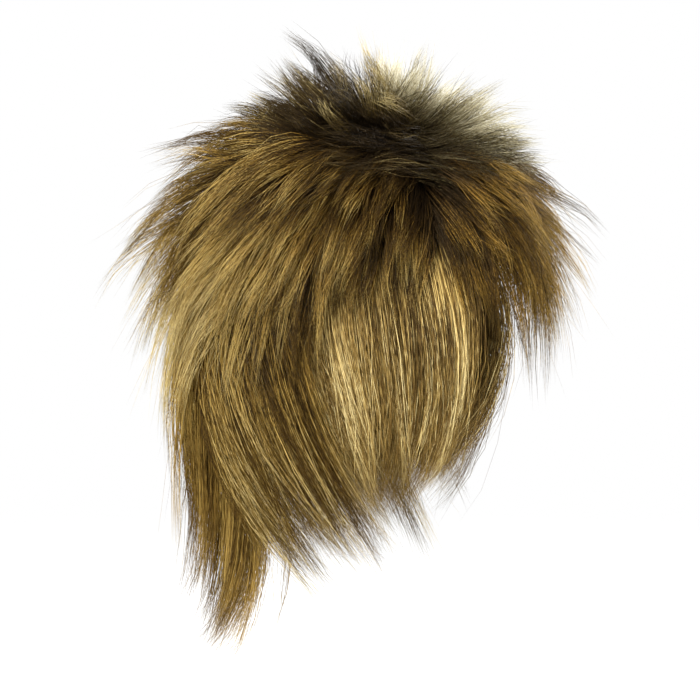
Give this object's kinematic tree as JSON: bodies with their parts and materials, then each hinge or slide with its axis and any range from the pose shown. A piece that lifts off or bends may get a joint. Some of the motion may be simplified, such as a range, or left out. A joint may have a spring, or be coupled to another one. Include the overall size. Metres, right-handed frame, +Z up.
{
  "type": "wig",
  "caption": "Layered mullet wig with dark roots, a spiked crown, a flicked fringe and a long nape, sewn to a stretch cap that is open at the face and neck.",
  "frame": {"origin": "crown seat: the inside of the cap where the top of the head meets it", "axes": "+Z up, -Y towards the wearer's face, +X towards the wearer's left"},
  "size_m": [0.2726, 0.3318, 0.451],
  "materials": {
    "cap_net": "dark brown stretch net, matt",
    "crown_fibre": "synthetic hair, olive blond with pale tips",
    "tuft_fibre": "synthetic hair, dark brown roots",
    "fringe_fibre": "synthetic hair, ochre",
    "upper_fibre": "synthetic hair, ochre roots to gold ends, soft sheen",
    "side_fibre": "synthetic hair, pale gold, soft sheen",
    "back_fibre": "synthetic hair, gold with pale streaks, soft sheen",
    "nape_fibre": "synthetic hair, darker gold"
  },
  "bodies": {
    "root": {"cap": "cap_net", "crown_spikes": "crown_fibre", "crown_tuft": "tuft_fibre", "fringe": "fringe_fibre", "upper_layer_right": "upper_fibre", "upper_layer_left": "upper_fibre", "upper_layer_back": "back_fibre", "side_panel_right": "side_fibre", "side_panel_left": "side_fibre", "back_layer_right": "back_fibre", "back_layer_left": "back_fibre", "nape_tail": "nape_fibre"}
  },
  "joints": []
}
